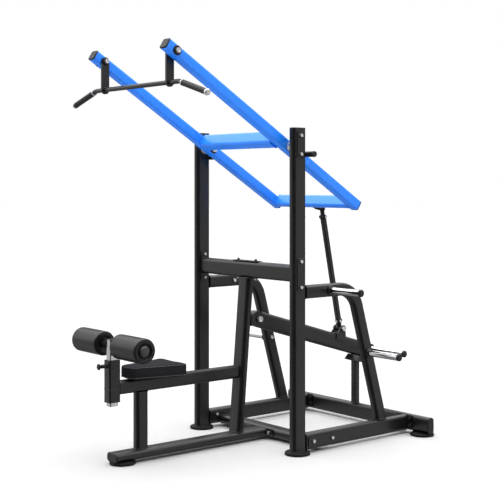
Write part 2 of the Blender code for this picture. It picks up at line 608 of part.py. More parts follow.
# The bracket behind the rear crossbar: a round flange, and a stub whose tongue stands in the rod's fork
rod_along = (ROD_FOOT - ROD_TOP).normalized()
flange_face = at(0, 0.564, 1.360)
flange_axis = at(0, sin(0.45), cos(0.45))
stub_top = ROD_TOP - rod_along * 0.056
bracket = turned("rod_bracket",
                 [(0, -0.005), (0.046, -0.005), (0.048, -0.003), (0.048, 0.003), (0.046, 0.005),
                                 (0, 0.005)], flange_face, flange_axis, BLACK, origin=ARM_PIVOT,
                  steps=32)
join(bracket,
     slab("bracket_web",
          [(0.545, 1.345), (0.600, 1.342), (0.603, 1.354), (0.560, 1.396), (0.545, 1.396)],
                   -0.006, 0.006, BLACK),
     rod("bracket_stub", stub_top, ROD_TOP - rod_along * 0.0185, 0.0135, BLACK, steps=24),
     slab("bracket_tongue", strap(ROD_TOP - rod_along * 0.030, ROD_TOP, 0.0125, 0.0124), -0.0066,
          0.0066, BLACK),
     rod("rod_bolt", ROD_TOP - X * 0.0205, ROD_TOP + X * 0.0205, 0.006, BLACK, steps=20))
for side, sign in SIDES:
    join(bracket,
         rod("rod_bolt_head_" + side, ROD_TOP + X * sign * 0.0154, ROD_TOP + X * sign * 0.0215, 0.0095,
                      BLACK, steps=20))
cut(bracket, bar("crossbar_room", rear_centre - X * 0.10, rear_centre + X * 0.10,
                 (REAR_BAR[0] + 2 * GAP, REAR_BAR[1] + 2 * GAP, REAR_BAR[2]), ARM_ALONG, BLUE))

# ---- Rod between the arm frame and the weight lever ----
link = bar("link_rod", ROD_TOP, ROD_FOOT - rod_along * 0.036, (0.030, 0.030, 0.006), X, BLACK,
           origin=ROD_TOP)
join(link, rod("rod_end", ROD_TOP - X * 0.0148, ROD_TOP + X * 0.0148, 0.0148, BLACK),
     rod("rod_neck", ROD_FOOT - rod_along * 0.040, ROD_FOOT, 0.0145, BLACK),
     rod("rod_foot_eye", ROD_FOOT - X * 0.0240, ROD_FOOT + X * 0.0240, 0.012, BLACK))
cut(link,
    bar("fork_slot", ROD_TOP - rod_along * 0.020, ROD_TOP + rod_along * 0.016, (0.0140, 0.050, 0.001),
        X, BLACK,
              segments=1),
    rod("rod_bore", ROD_TOP - X * 0.03, ROD_TOP + X * 0.03, 0.0063, BLACK, steps=20))

# ---- Pull bar ----
for side, sign in SIDES:
    x_low, x_high = sorted((sign * (ARM_IN - GAP * 2), sign * (ARM_IN - 0.0134)))
    hanger = slab("hanger_" + side, strap(HANGER_PIVOT, at(0, HANGER_PIVOT.y, BAR_Z), 0.024, 0.024),
                  x_low,
                  x_high, BLACK, origin=HANGER_PIVOT)
    cut(hanger,
        rod("hanger_bore_" + side, HANGER_PIVOT + X * sign * 0.28, HANGER_PIVOT + X * sign * 0.34,
                    0.0083, BLACK, steps=20),
        rod("bar_bore_" + side, at(sign * 0.28, HANGER_PIVOT.y, BAR_Z),
            at(sign * 0.34, HANGER_PIVOT.y, BAR_Z),
            BAR_RADIUS + GAP, BLACK, steps=24))
bar_bend = at(BAR_BEND_X, HANGER_PIVOT.y, BAR_Z)
mirror = Matrix.Diagonal((-1, 1, 1))
round_bar("pull_bar", bent_path([mirror @ BAR_TIP, mirror @ bar_bend, bar_bend, BAR_TIP], 0.060, 5),
          BAR_RADIUS, BLACK,
          origin=HANGER_PIVOT)
for side, sign in SIDES:
    tip = BAR_TIP if sign > 0 else mirror @ BAR_TIP
    bend = bar_bend if sign > 0 else mirror @ bar_bend
    inward = (bend - tip).normalized()
    turned("grip_" + side, [(BAR_RADIUS + GAP, 0.006), (0.0165, 0.006), (0.0165, 0.006 + GRIP_LONG),
                            (BAR_RADIUS + GAP, 0.006 + GRIP_LONG)], tip, inward, RUBBER,
                            origin=HANGER_PIVOT,
           steps=24)
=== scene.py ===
"""Looks of the lever lat pulldown machine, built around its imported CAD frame."""

import json

from math import cos, pi, sin

import bmesh
import bpy
from mathutils import Matrix, Vector, noise
from mathutils.bvhtree import BVHTree

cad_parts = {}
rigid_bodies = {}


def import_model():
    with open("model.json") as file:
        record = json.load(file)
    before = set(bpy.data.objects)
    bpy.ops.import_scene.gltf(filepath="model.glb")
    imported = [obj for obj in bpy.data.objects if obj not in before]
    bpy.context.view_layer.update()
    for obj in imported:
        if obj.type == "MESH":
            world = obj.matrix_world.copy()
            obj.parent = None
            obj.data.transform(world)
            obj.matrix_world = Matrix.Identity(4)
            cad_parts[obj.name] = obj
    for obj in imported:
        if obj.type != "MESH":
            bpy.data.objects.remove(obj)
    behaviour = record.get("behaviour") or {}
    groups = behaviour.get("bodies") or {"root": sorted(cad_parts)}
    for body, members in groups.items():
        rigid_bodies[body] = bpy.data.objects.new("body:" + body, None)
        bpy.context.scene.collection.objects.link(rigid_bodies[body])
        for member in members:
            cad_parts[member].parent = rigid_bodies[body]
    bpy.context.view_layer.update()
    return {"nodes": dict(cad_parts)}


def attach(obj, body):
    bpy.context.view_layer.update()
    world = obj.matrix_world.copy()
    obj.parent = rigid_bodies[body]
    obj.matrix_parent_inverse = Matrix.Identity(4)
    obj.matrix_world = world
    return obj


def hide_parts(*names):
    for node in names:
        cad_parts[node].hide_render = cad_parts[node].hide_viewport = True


for old in list(bpy.data.objects):
    bpy.data.objects.remove(old, do_unlink=True)
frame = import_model()
nodes = frame["nodes"]

X, Y, Z = Vector((1, 0, 0)), Vector((0, 1, 0)), Vector((0, 0, 1))
SIDES = (("left", -1), ("right", 1))

# Main places and tube sections, in metres, as in the CAD. A section is (width, depth, corner radius).
MAIN_TUBE, MAIN_TUBE_FLAT, SMALL_TUBE = (0.050, 0.096, 0.020), (0.096, 0.050, 0.020), (0.050, 0.075, 0.017)
ARM_TUBE, INNER_POST = (0.060, 0.060, 0.012), (0.042, 0.050, 0.0055)
POST_X, POST_IN, POST_OUT, POST_BACK, POST_TOP = 0.441, 0.416, 0.466, 0.048, 1.812
BEAM_Z, RAIL_Z, SEAT_BEAM_Z, BEAM_FRONT, REAR_Y = 0.042, 0.065, 0.4125, -0.9253, 0.896
UPPER_BEAM_Z, PLATE_OUT, FLANGE_IN = 1.003, 0.4713, 0.4097
STORE_HORNS = (("upper", 0.235, 0.8985), ("lower", 0.541, 0.515))
ARM_PIVOT = Vector((0, 0, 1.711))
ARM_TILT = 0.5534
ARM_ALONG = Vector((0, cos(ARM_TILT), -sin(ARM_TILT)))
ARM_ACROSS = Vector((0, sin(ARM_TILT), cos(ARM_TILT)))
ARM_FRONT, ARM_REAR, ARM_IN, ARM_OUT = 0.975, 0.640, 0.320, 0.380
FRONT_BAR, REAR_BAR = (0.068, 0.081, 0.016), (0.040, 0.0755, 0.013)
FRONT_BAR_AT = ARM_PIVOT - ARM_ALONG * 0.068 + ARM_ACROSS * 0.0045
REAR_BAR_AT = ARM_PIVOT + ARM_ALONG * 0.614 + ARM_ACROSS * 0.0078
STOP_PEG = Vector((0, POST_BACK + 0.0162, 1.667))
HANGER_PIVOT = Vector((0, -0.777, 2.190))
ROD_TOP, ROD_FOOT = Vector((0, 0.608, 1.298)), Vector((0, 0.750, 0.596))
LEVER_PIVOT = Vector((0, 0.065, 0.709))
LEVER_SLOPE, LEVER_BACK, LEVER_HALF = 0.288, 1.035, 0.048
LEVER_ALONG = Vector((0, cos(LEVER_SLOPE), -sin(LEVER_SLOPE)))
LEVER_ACROSS = Vector((0, sin(LEVER_SLOPE), cos(LEVER_SLOPE)))
LEVER_LOAD = Vector((0, 0.9955, 0.4474))
SLEEVE_Y, PIN_Z, ROLLER_Z = -0.929, 0.534, 0.643
SEAT_FRONT, SEAT_BACK, SEAT_MIDDLE_Y, SEAT_LOW, SEAT_TOP = -0.845, -0.517, -0.67, 0.4566, 0.523
BAR_TIP, BAR_BEND = Vector((0.640, -0.777, 1.958)), Vector((0.400, -0.777, 2.030))
# How far a fitted piece stands off the face that it sits on, so that no two faces lie in one plane
GAP = 0.0003


# ---------------------------------------------------------------- materials
class Paint:
    """Short names for building a node material."""

    def __init__(self, name, **settings):
        self.mat = bpy.data.materials.new(name)
        self.mat.use_nodes = True
        self.tree = self.mat.node_tree
        self.shader = self.tree.nodes["Principled BSDF"]
        for key, value in settings.items():
            self.shader.inputs[key.replace("_", " ")].default_value = value
        self.place = self.node("ShaderNodeTexCoord").outputs["Object"]

    def node(self, kind, **settings):
        made = self.tree.nodes.new(kind)
        for key, value in settings.items():
            setattr(made, key, value)
        return made

    def link(self, source, target):
        self.tree.links.new(source, target)

    def noise(self, scale, detail=3, rough=0.55, stretch=None):
        made = self.node("ShaderNodeTexNoise")
        made.inputs["Scale"].default_value = scale
        made.inputs["Detail"].default_value = detail
        made.inputs["Roughness"].default_value = rough
        place = self.place
        if stretch:
            mapping = self.node("ShaderNodeMapping")
            mapping.inputs["Scale"].default_value = stretch
            self.link(place, mapping.inputs["Vector"])
            place = mapping.outputs["Vector"]
        self.link(place, made.inputs["Vector"])
        return made.outputs["Fac"]

    def cells(self, scale):
        made = self.node("ShaderNodeTexVoronoi")
        made.inputs["Scale"].default_value = scale
        self.link(self.place, made.inputs["Vector"])
        return made.outputs["Distance"]

    def span(self, source, low, high, start=0.0, end=1.0):
        """Take the source's values from start..end to low..high."""
        made = self.node("ShaderNodeMapRange")
        for key, value in zip(("From Min", "From Max", "To Min", "To Max"), (start, end, low, high)):
            made.inputs[key].default_value = value
        self.link(source, made.inputs["Value"])
        return made.outputs["Result"]

    def mix(self, factor, a, b):
        made = self.node("ShaderNodeMix", data_type="RGBA")
        for value, slot in ((factor, 0), (a, 6), (b, 7)):
            if isinstance(value, bpy.types.NodeSocket):
                self.link(value, made.inputs[slot])
            else:
                made.inputs[slot].default_value = (*value, 1) if hasattr(value, "__len__") else value
        return made.outputs[2]

    def maths(self, operation, a, b=None):
        made = self.node("ShaderNodeMath", operation=operation)
        for i, value in enumerate((a, b)):
            if isinstance(value, bpy.types.NodeSocket):
                self.link(value, made.inputs[i])
            elif value is not None:
                made.inputs[i].default_value = value
        return made.outputs[0]

    def bump(self, *layers):
        """Each layer is (height socket, strength, distance in metres)."""
        before = None
        for height, strength, distance in layers:
            made = self.node("ShaderNodeBump")
            made.inputs["Strength"].default_value = strength
            made.inputs["Distance"].default_value = distance
            self.link(height, made.inputs["Height"])
            if before:
                self.link(before, made.inputs["Normal"])
            before = made.outputs["Normal"]
        self.link(before, self.shader.inputs["Normal"])

    def colour(self, socket):
        self.link(socket, self.shader.inputs["Base Color"])

    def rough(self, socket):
        self.link(socket, self.shader.inputs["Roughness"])


def powder_coat(name, deep, bright, worn, roughness):
    """Baked powder paint: orange-peel ripple, fine speckle and a few rubbed spots."""
    p = Paint(name, Specular_IOR_Level=0.5)
    clouds = p.noise(7, 4)
    speckle = p.noise(1100, 2, 0.6)
    tone = p.mix(p.span(clouds, 0, 1, 0.3, 0.7), deep, bright)
    tone = p.mix(p.span(speckle, 0, 0.22, 0.52, 0.72), tone, bright)
    rubbed = p.span(p.noise(55, 5, 0.7), 0, 0.3, 0.71, 0.80)
    tone = p.mix(rubbed, tone, worn)
    p.colour(tone)
    p.rough(p.maths("ADD", p.span(clouds, roughness - 0.03, roughness + 0.04, 0.3, 0.7),
                    p.span(speckle, -0.03, 0.05, 0.35, 0.65)))
    p.bump((p.noise(240, 2), 0.16, 0.0002), (speckle, 0.14, 0.0001))
    return p.mat


def steel(name, colour, roughness, scratches=0.10, blotch=0.0, metallic=1.0):
    """Plated or oxidised steel with fine lengthwise scratches and a cloudy tone."""
    p = Paint(name, Metallic=metallic)
    streak = p.noise(60, 6, 0.7, (1, 14, 14))
    cloud = p.noise(22, 4)
    darker = tuple(c * (0.86 - blotch) for c in colour)
    p.colour(p.mix(p.span(cloud, 0, 1, 0.35, 0.68), colour, darker))
    p.rough(p.maths("ADD", p.span(streak, roughness, roughness + scratches, 0.35, 0.7),
                    p.span(cloud, -0.02, 0.05 + blotch, 0.4, 0.7)))
    p.bump((streak, 0.06, 0.0001))
    return p.mat


def moulded(name, deep, bright, roughness, grain=700.0, depth=0.0001, shine=0.5):
    """Moulded plastic or rubber with a fine pitted grain."""
    p = Paint(name, Specular_IOR_Level=shine)
    cloud, pits = p.noise(16, 4), p.cells(grain)
    p.colour(p.mix(p.span(cloud, 0, 1, 0.3, 0.72), deep, bright))
    p.rough(p.maths("ADD", p.span(cloud, roughness - 0.05, roughness + 0.07, 0.3, 0.7),
                    p.span(pits, 0.04, -0.03, 0, 0.5)))
    p.bump((pits, 0.25, depth), (p.noise(90, 3), 0.10, 0.00015))
    return p.mat


def foam_skin(name, deep, bright):
    """Closed-cell foam tube: fine open pores, darkened inside by painted shade, and soft mottling under a
    low gloss.
    """
    p = Paint(name, Specular_IOR_Level=0.30)
    cloud, fine, pores = p.noise(18, 5, 0.6), p.noise(900, 3, 0.6), p.cells(520)
    tone = p.mix(p.span(cloud, 0, 1, 0.3, 0.7), deep, bright)
    # The pores are darker than the skin around them: painted shade inside the pores.
    pore_shade = tuple(c * 0.55 for c in deep)
    tone = p.mix(p.span(pores, 0.6, 0, 0.08, 0.3), tone, pore_shade)
    p.colour(tone)
    p.rough(p.span(fine, 0.27, 0.33, 0.3, 0.7))
    p.bump((cloud, 0.10, 0.0004), (pores, 0.2, 0.00010), (fine, 0.12, 0.00006))
    return p.mat


def vinyl_skin(name, deep, bright):
    """Upholstery vinyl: pebbled leather grain with fine creases between the pebbles, darkened by painted
    shade.
    """
    p = Paint(name, Specular_IOR_Level=0.05)
    warped = p.node("ShaderNodeVectorMath", operation="ADD")
    shift = p.node("ShaderNodeTexNoise")
    shift.inputs["Scale"].default_value = 160
    p.link(p.place, shift.inputs["Vector"])
    small = p.node("ShaderNodeVectorMath", operation="SCALE")
    small.inputs["Scale"].default_value = 0.0022
    p.link(shift.outputs["Color"], small.inputs[0])
    p.link(p.place, warped.inputs[0])
    p.link(small.outputs[0], warped.inputs[1])
    grain = p.node("ShaderNodeTexVoronoi", feature="DISTANCE_TO_EDGE")
    grain.inputs["Scale"].default_value = 430
    p.link(warped.outputs[0], grain.inputs["Vector"])
    edge = grain.outputs["Distance"]
    cloud, fine = p.noise(11, 4), p.noise(1500, 2)
    tone = p.mix(p.span(cloud, 0, 1, 0.3, 0.7), deep, bright)
    # The creases between the pebbles are coloured darker: painted shade in the creases.
    crease_shade = tuple(c * 0.5 for c in deep)
    p.colour(p.mix(p.span(edge, 0.7, 0, 0.0, 0.12), tone, crease_shade))
    p.rough(p.maths("ADD", p.span(edge, 0.76, 0.60, 0, 0.3), p.span(cloud, -0.04, 0.06, 0.3, 0.7)))
    p.bump((cloud, 0.12, 0.0008), (p.span(edge, 0, 1, 0.0, 0.22), 0.5, 0.00022), (fine, 0.15, 0.00005))
    return p.mat


BLACK = powder_coat("Black powder coat", (0.0065, 0.0065, 0.0068), (0.0095, 0.0095, 0.0100),
                    (0.022, 0.022, 0.023), 0.32)
BLUE = powder_coat("Blue powder coat", (0.012, 0.215, 0.96), (0.018, 0.240, 1.0), (0.05, 0.30, 1.0), 0.34)
CHROME = steel("Chrome plate", (0.68, 0.68, 0.70), 0.09, 0.06)
ZINC = steel("Zinc plate", (0.72, 0.72, 0.73), 0.24, 0.12, 0.04, 0.7)
BLACK_OXIDE = steel("Black oxide steel", (0.035, 0.035, 0.037), 0.38, 0.12, 0.0, 0.6)
PLASTIC = moulded("Moulded black plastic", (0.010, 0.010, 0.011), (0.015, 0.015, 0.016), 0.42, shine=0.3)
RUBBER = moulded("Rubber", (0.007, 0.007, 0.007), (0.011, 0.011, 0.011), 0.62, 420, 0.00015, 0.15)
GRIP = moulded("Grip rubber", (0.010, 0.010, 0.011), (0.016, 0.016, 0.017), 0.55, 520, 0.00012)
FOAM = foam_skin("Foam skin", (0.0065, 0.0065, 0.0072), (0.0095, 0.0095, 0.0103))
VINYL = vinyl_skin("Seat vinyl", (0.0150, 0.0143, 0.0175), (0.0210, 0.0200, 0.0240))
# The piping vinyl is coloured lighter than the seat vinyl as a painted highlight, so the welts show as light
# lines along the cushion's edges; its lower roughness is its own gloss.
PIPING_WITH_PAINTED_HIGHLIGHT = moulded("Piping vinyl", (0.030, 0.029, 0.033), (0.045, 0.044, 0.048), 0.35, 900, 0.00005)
CAP = moulded("Roller cap plastic", (0.028, 0.028, 0.029), (0.040, 0.040, 0.041), 0.40, 800, 0.00005)


# ---------------------------------------------------------------- CAD nodes
def smooth_corners(obj, limit=0.66):
    """Round the shading over the CAD's rounded corners, leaving every vertex where it is."""
    mesh = obj.data
    around = {}
    for polygon in mesh.polygons:
        for vertex in polygon.vertices:
            key = tuple(round(c, 5) for c in mesh.vertices[vertex].co)
            around.setdefault(key, []).append((polygon.normal.copy(), polygon.area))
    normals = []
    for polygon in mesh.polygons:
        polygon.use_smooth = True
        for vertex in polygon.vertices:
            total = Vector()
            for normal, area in around[tuple(round(c, 5) for c in mesh.vertices[vertex].co)]:
                if normal.angle(polygon.normal, 0) < limit:
                    total += normal * area
            normals.append(total.normalized())
    mesh.normals_split_custom_set(normals)


by_material = {
    BLACK: "front_base_beam lower_crossbeam side_rail_left side_rail_right rear_crossbeam post_left "
           "post_right upper_crossbeam slanted_column seat_beam seat_post roller_sleeve arch_left "
           "arch_right stop_stand stop_saddle lever_yoke lower_backing_plate_left "
           "lower_backing_plate_right pivot_plate_left pivot_plate_right seat_plate weight_lever "
           "lever_clevis link_rod rod_bracket hanger_left hanger_right pull_bar",
    BLUE: "arm_left arm_right front_crossbar rear_crossbar",
    CHROME: "roller_post",
    ZINC: "arm_pivot_left arm_pivot_right lever_bolt",
    BLACK_OXIDE: "roller_axle",
    PLASTIC: "front_beam_cap rear_beam_cap_left rear_beam_cap_right post_cap_left post_cap_right "
             "pop_pin",
    RUBBER: "foot_front foot_middle_left foot_middle_right foot_rear_left foot_rear_right",
}
for material, names in by_material.items():
    for name in names.split():
        node = nodes[name]
        if not node.material_slots:
            node.data.materials.append(material)
        for slot in node.material_slots:
            slot.material = material
        smooth_corners(node)


# ---------------------------------------------------------------- shapes
def made(name, bm, material, body, smooth=0.6, replaces=(), extra=()):
    """Turn a mesh into a piece that rides on a body."""
    bmesh.ops.remove_doubles(bm, verts=bm.verts, dist=1e-6)
    bmesh.ops.recalc_face_normals(bm, faces=bm.faces)
    mesh = bpy.data.meshes.new(name)
    bm.to_mesh(mesh)
    bm.free()
    for mat in (material, *extra):
        mesh.materials.append(mat)
    if smooth:
        mesh.shade_smooth()
        mesh.set_sharp_from_angle(angle=smooth)
    obj = bpy.data.objects.new(name, mesh)
    bpy.context.scene.collection.objects.link(obj)
    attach(obj, body)
    if replaces:
        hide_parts(*replaces)
    return obj


def turn_to(axis):
    """The rotation that takes +Z to an axis."""
    return Z.rotation_difference(Vector(axis)).to_matrix().to_4x4()


def lathe(bm, profile, at, axis, steps=48, material=0):
    """Add a turned shape. profile holds (radius, distance along the axis) pairs.

    It is closed into a ring when both its ends have a radius.
    """
    spot = Matrix.Translation(Vector(at)) @ turn_to(axis)
    rings = []
    for radius, along in profile:
        if radius < 1e-7:
            rings.append([bm.verts.new(spot @ Vector((0, 0, along)))])
        else:
            rings.append([bm.verts.new(spot @ Vector((radius * cos(2 * pi * k / steps),
                                                      radius * sin(2 * pi * k / steps), along)))
                          for k in range(steps)])
    if profile[0][0] > 1e-7 and profile[-1][0] > 1e-7:
        rings.append(rings[0])
    for near, far in zip(rings, rings[1:]):
        for k in range(steps):
            j = (k + 1) % steps
            corners = [near[k % len(near)], near[j % len(near)], far[j % len(far)], far[k % len(far)]]
            unique = list(dict.fromkeys(corners))
            if len(unique) > 2:
                bm.faces.new(unique).material_index = material


def lathed(name, profile, at, axis, material, body, steps=48, **more):
    bm = bmesh.new()
    lathe(bm, profile, at, axis, steps)
    return made(name, bm, material, body, **more)


def rounded(corners, radii, steps=6):
    """A closed outline with each corner replaced by an arc."""
    found = []
    for i, corner in enumerate(corners):
        here = Vector(corner)
        before = (Vector(corners[i - 1]) - here).normalized()
        after = (Vector(corners[(i + 1) % len(corners)]) - here).normalized()
        half = before.angle(after) / 2
        radius = radii[i] if isinstance(radii, (list, tuple)) else radii
        centre = here + (before + after).normalized() * (radius / sin(half))
        start = here + before * radius / (sin(half) / cos(half)) - centre
        end = here + after * radius / (sin(half) / cos(half)) - centre
        turn = start.angle(end)
        for k in range(steps + 1):
            t = k / steps
            found.append(centre + (start * sin((1 - t) * turn) + end * sin(t * turn)) / sin(turn))
    return found


def box_outline(wide, deep, radius, steps=6):
    """A rounded rectangle about the origin."""
    w, d = wide / 2, deep / 2
    return rounded([Vector(c) for c in ((-w, -d), (w, -d), (w, d), (-w, d))], radius, steps)


def loft(bm, rings, closed=False, caps=True):
    """Join rings of points by faces, with a face over each end, or with the last joined to the first."""
    rings = [[bm.verts.new(p) for p in ring] for ring in rings]
    if closed:
        rings.append(rings[0])
    for near, far in zip(rings, rings[1:]):
        for j in range(len(near)):
            k = (j + 1) % len(near)
            bm.faces.new((near[j], near[k], far[k], far[j]))
    if caps and not closed:
        for ring in (rings[0], rings[-1]):
            bm.faces.new(ring)


def placed(outline, at, side, up, lift=Vector()):
    """An outline's points in the plane of side and up, about a point."""
    return [Vector(at) + side * u + up * v + lift for u, v in outline]


def end_cap(name, at, out, side, up, size, body, thick, lip=0.0009, replaces=()):
    """A plastic plug in a tube's end: a flange with a rounded rim and a shallow dished face.

    lip is how far the flange stands out past the tube's section.
    """
    wide, deep, radius = size
    edge = thick / 0.004
    rings = []
    for grow, rise in ((-0.0030, -0.004), (-0.0030, 0.0), (lip, 0.0), (lip, thick * 0.35),
                       (lip - 0.0006 * edge, thick * 0.70), (lip - 0.0018 * edge, thick * 0.93),
                       (lip - 0.0032 * edge, thick), (min(-0.010, lip - 0.0055 * edge), thick * 0.93)):
        outline = box_outline(wide + 2 * grow, deep + 2 * grow, max(radius + grow, 0.003))
        rings.append(placed(outline, at, side, up, out * rise))
    bm = bmesh.new()
    loft(bm, rings)
    return made(name, bm, PLASTIC, body, smooth=0.9, replaces=replaces)


def add_bolt(bm, at, axis, size=0.010, nut=False):
    """A hexagon head or a nut, on a washer. size is the thread's diameter; the washer has material 1."""
    washer_radius, washer_high, head, high = size * 1.22, size * 0.24, size * 0.90, size * 0.64
    lathe(bm, [(0, -0.0004), (washer_radius, -0.0004), (washer_radius, washer_high * 0.7),
               (washer_radius - 0.0006, washer_high), (0, washer_high)], at, axis, 32, 1)
    spot = Matrix.Translation(Vector(at)) @ turn_to(axis) @ Matrix.Rotation(0.4, 4, "Z")
    steps = 36
    top = washer_high + high
    rings = []
    for share, along in ((1.0, washer_high), (1.0, washer_high + high * 0.78),
                         (0.93, washer_high + high * 0.95), (0.80, top)):
        ring = []
        for k in range(steps):
            angle = 2 * pi * k / steps
            flat = head * 0.866 / cos((angle % (pi / 3)) - pi / 6)
            radius = min(flat, head * share) if share < 1 else flat
            ring.append(spot @ Vector((radius * cos(angle), radius * sin(angle), along)))
        rings.append(ring)
    if nut:
        end, wide = ((0.52, top), (0.50, top + size * 0.28), (0.40, top + size * 0.34)), size
    else:
        end, wide = ((0.60, top), (0.54, top - size * 0.07), (0.30, top - size * 0.09)), head
    for share, along in end:
        radius = wide * share
        rings.append([spot @ Vector((radius * cos(2 * pi * k / steps), radius * sin(2 * pi * k / steps),
                                     along)) for k in range(steps)])
    loft(bm, rings)


def bolts(name, body, places, material=ZINC):
    """One piece of many bolts. Each place is (point, axis, size), with a True after them for a nut."""
    bm = bmesh.new()
    for place in places:
        add_bolt(bm, *place)
    return made(name, bm, material, body, smooth=0.5, extra=(BLACK_OXIDE,))


def weld(bm, loop, radius, seed=0.0):
    """A rippled weld bead along a closed loop of points."""
    points = [Vector(p) for p in loop]
    path = []
    for i, point in enumerate(points):
        after = points[(i + 1) % len(points)]
        count = max(1, int((after - point).length / 0.0022))
        path += [point.lerp(after, k / count) for k in range(count)]
    rings = []
    count = len(path)
    for i, point in enumerate(path):
        along = (path[(i + 1) % count] - path[i - 1]).normalized()
        helper = Z if abs(along.z) < 0.8 else X
        side = along.cross(helper).normalized()
        up = side.cross(along)
        uneven = noise.noise(point * 90 + Vector((seed, 0, 0)))
        swell = radius * (1 + 0.12 * sin((i + 1) * 2 * pi / 3) + 0.10 * uneven)
        rings.append([point + (side * cos(2 * pi * k / 8) + up * sin(2 * pi * k / 8)) * swell
                      for k in range(8)])
    loft(bm, rings, closed=True)


def welds(name, body, loops, material=BLACK):
    """One piece of many weld beads. Each loop is (points, bead radius)."""
    bm = bmesh.new()
    for i, (loop, radius) in enumerate(loops):
        weld(bm, loop, radius, i * 3.7)
    return made(name, bm, material, body, smooth=1.2)


def square_loop(size, at, side, up):
    """The bead's path round a tube of a section."""
    return placed(box_outline(*size, 4), at, side, up)


def circle_loop(radius, at, axis, steps=40):
    spot = Matrix.Translation(Vector(at)) @ turn_to(axis)
    return [spot @ Vector((radius * cos(2 * pi * k / steps), radius * sin(2 * pi * k / steps), 0))
            for k in range(steps)]


# ---------------------------------------------------------------- plate horns
def horn(tag, at, sign, length, body, node):
    """A chrome plate horn: welded root flange, tube and a domed end plug."""
    axis = X * sign
    rim = length - 0.0145
    lathed("horn_tube_" + tag, [(0.0193, 0.003), (0.0195, 0.006), (0.0195, length - 0.0155), (0.0188, rim),
                                (0.0170, rim), (0.0170, 0.003)],
           at, axis, CHROME, body, 64, smooth=0.5, replaces=(node,))
    lathed("horn_flange_" + tag, [(0, 0), (0.0300, 0), (0.0310, 0.001), (0.0312, 0.0065), (0.0300, 0.008),
                                  (0.0236, 0.0084), (0.0224, 0.0098), (0.0203, 0.0106), (0.0196, 0.0106),
                                  (0.0196, 0.002), (0, 0.002)],
           at, axis, BLACK, body, 56, smooth=0.5)
    plug = [(0.0150, 0.030), (0.0166, 0.028), (0.0166, 0.0146), (0.0202, 0.0146), (0.0209, 0.0138),
            (0.0211, 0.0120), (0.0211, 0.0060), (0.0203, 0.0036), (0.0180, 0.0017), (0.0120, 0.0005),
            (0.0050, 0), (0, 0)]
    lathed("horn_plug_" + tag, [(radius, length - short) for radius, short in plug], at, axis, PLASTIC, body,
           56, smooth=0.9)


for side, sign in SIDES:
    for place, y, z in STORE_HORNS:
        horn("%s_%s" % (place, side), Vector((sign * (POST_OUT + GAP), y, z)), sign, 0.244, "frame",
             "store_horn_%s_%s" % (place, side))
    horn("load_" + side, LEVER_LOAD + X * sign * (0.0250 + GAP), sign, 0.304, "weight_lever",
         "load_horn_" + side)

# ---------------------------------------------------------------- thigh rollers
roller_mid = Vector((0, SLEEVE_Y, ROLLER_Z))
roller_end = [(0.0125, 0.0840), (0.0392, 0.0840), (0.0408, 0.0826), (0.0414, 0.0750), (0.0426, 0.0728),
              (0.0450, 0.0720), (0.0560, 0.0720), (0.0608, 0.0728), (0.0642, 0.0750), (0.0656, 0.0785),
              (0.0660, 0.0835)]
roller_barrel = [(0.0660 + 0.0003 * sin(pi * k / 12), 0.0835 + 0.0180 * k) for k in range(1, 12)]
roller_ends_sum = 0.383
roller_profile = (roller_end + roller_barrel
                  + [(radius, roller_ends_sum - along) for radius, along in reversed(roller_end)])
for side, sign in SIDES:
    foam = lathed("roller_foam_" + side, roller_profile, roller_mid, X * sign, FOAM, "roller_" + side, 96,
                  smooth=1.0, replaces=("roller_" + side,))
    lathed("roller_plug_" + side, [(0.0130, 0.2980), (0.0290, 0.2980), (0.0298, 0.2995), (0.0300, 0.3055),
                                   (0.0293, 0.3094), (0.0268, 0.3130), (0.0205, 0.3158), (0.0110, 0.3174),
                                   (0, 0.3178)], roller_mid, X * sign, CAP, "roller_" + side, 64, smooth=1.0)
    lathed("axle_bush_" + side, [(0.0121, 0.0223), (0.0215, 0.0223), (0.0225, 0.0232), (0.0225, 0.0270),
                                 (0.0205, 0.0282), (0.0200, 0.0320), (0.0200, 0.0790), (0.0121, 0.0790)],
           roller_mid, X * sign, PLASTIC, "roller_frame", 48, smooth=0.6)
lathed("roller_axle_rod", [(0, -0.303), (0.0119, -0.303), (0.0119, 0.303), (0, 0.303)], roller_mid, X,
       BLACK_OXIDE, "roller_frame", 40, smooth=0.5, replaces=("roller_axle",))
end_cap("roller_post_cap", Vector((0, SLEEVE_Y, 0.6722)), Z, X, Y, INNER_POST, "roller_frame", thick=0.003,
        lip=0.0004)

# ---------------------------------------------------------------- roller sleeve and pop pin
# The plastic bush in the sleeve's mouth, from inside the bore, over its rim and down the outside
bm = bmesh.new()
outer, inner = box_outline(0.0602, 0.0712, 0.0096), box_outline(0.0432, 0.0512, 0.0058)
rings = [placed(o, (0, SLEEVE_Y, z), X, Y) for o, z in
         ((inner, 0.5460), (inner, 0.5632), (box_outline(0.0444, 0.0524, 0.006), 0.5640),
          (box_outline(0.0586, 0.0696, 0.0088), 0.5640), (outer, 0.5630), (outer, 0.5603),
          (box_outline(0.0436, 0.0516, 0.0058), 0.5603))]
loft(bm, rings[:6], caps=False)
loft(bm, rings[5:], caps=False)
made("sleeve_bush", bm, PLASTIC, "frame", smooth=0.6)
knob_at = Vector((0, -0.9643, PIN_Z))
lathed("pop_pin_knob", [(0, -0.015), (0.0050, -0.015), (0.0052, -0.013), (0.0052, 0.0340), (0.0072, 0.0365),
                        (0.0072, 0.0400), (0.0095, 0.0425), (0.0150, 0.0448), (0.0168, 0.0466),
                        (0.0172, 0.0487), (0.0166, 0.0508), (0.0145, 0.0526), (0.0100, 0.0542),
                        (0.0050, 0.0553), (0, 0.0556)],
       knob_at, -Y, PLASTIC, "pop_pin", 56, smooth=0.8, replaces=("pop_pin",))
